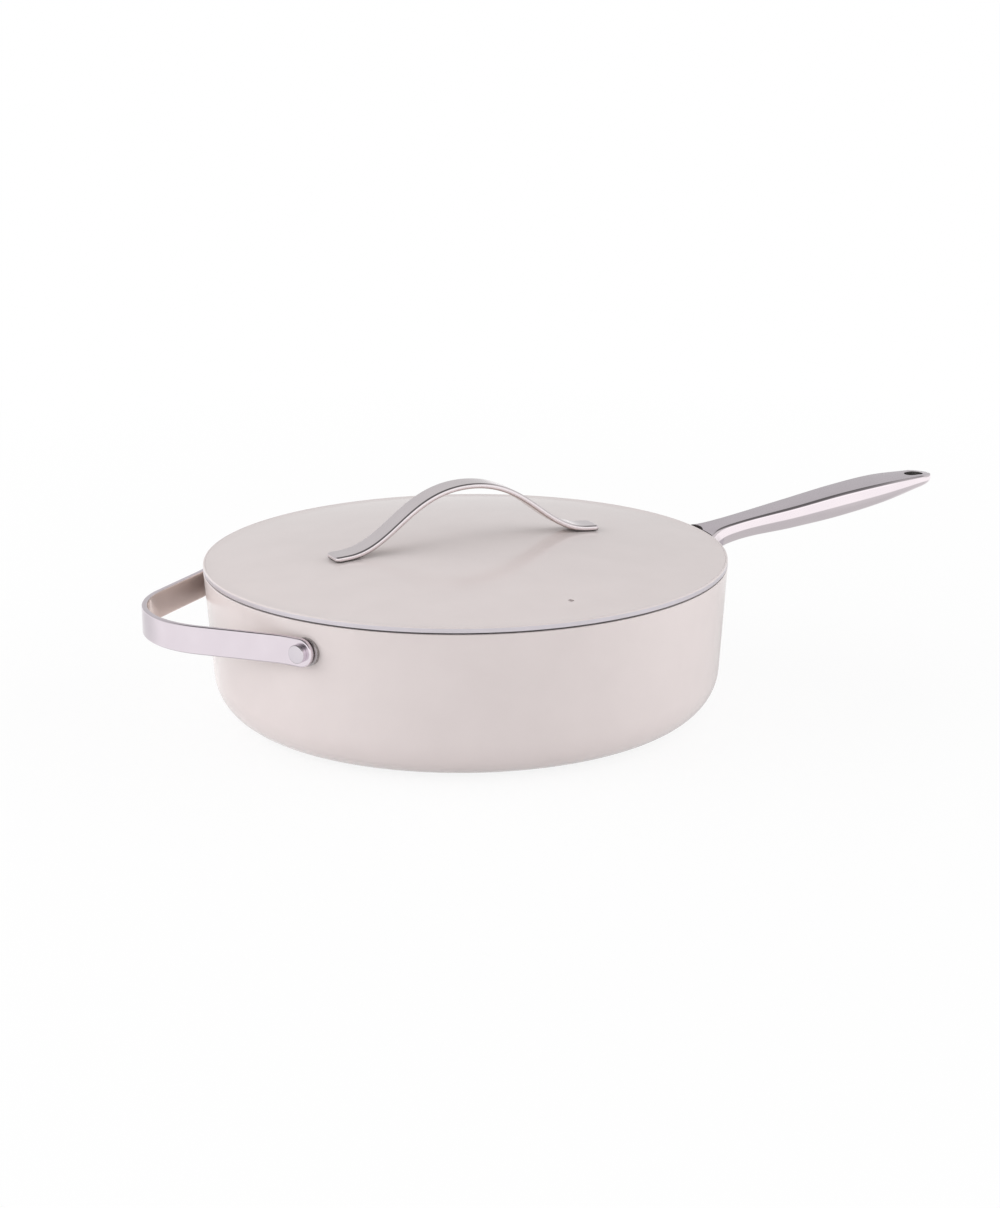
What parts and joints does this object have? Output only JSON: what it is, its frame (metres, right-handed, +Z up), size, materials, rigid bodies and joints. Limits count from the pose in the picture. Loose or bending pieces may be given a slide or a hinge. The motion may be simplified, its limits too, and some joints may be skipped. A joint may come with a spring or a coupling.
{
  "type": "deep frying pan",
  "caption": "Deep frying pan with a tapered coated body, a long cast steel handle, a bent-strap helper handle and a domed lift-off lid with an arched strap handle.",
  "frame": {"origin": "centre of the base plate's underside, on the plane where the pan stands", "axes": "+X along the long handle, +Y to its left, +Z up through the lid; the helper handle is on the -X side"},
  "size_m": [0.4605, 0.2798, 0.1241],
  "materials": {
    "coating": "satin warm-grey ceramic coating over aluminium",
    "handle_steel": "satin-polished stainless steel",
    "band_steel": "polished stainless steel edge",
    "base_steel": "spun stainless steel with fine turning lines",
    "fixing_steel": "polished stainless steel"
  },
  "bodies": {
    "pan": {"pan_body": "coating", "base_plate": "base_steel", "long_handle": "handle_steel", "handle_rivet_front": "fixing_steel", "handle_rivet_back": "fixing_steel", "helper_handle": "handle_steel", "helper_pad_front": "fixing_steel", "helper_pad_back": "fixing_steel", "helper_rivet_front": "fixing_steel", "helper_rivet_back": "fixing_steel"},
    "lid": {"lid_plate": "coating", "lid_rim": "band_steel", "lid_handle": "handle_steel", "lid_stud_left": "fixing_steel", "lid_stud_right": "fixing_steel", "lid_washer_left": "fixing_steel", "lid_washer_right": "fixing_steel", "lid_nut_left": "fixing_steel", "lid_nut_right": "fixing_steel"}
  },
  "joints": [
    {"name": "lid_lift", "type": "slide", "parent": "pan", "child": "lid", "axis": [0, 0, 1], "range_m": [0, 0.12]}
  ]
}
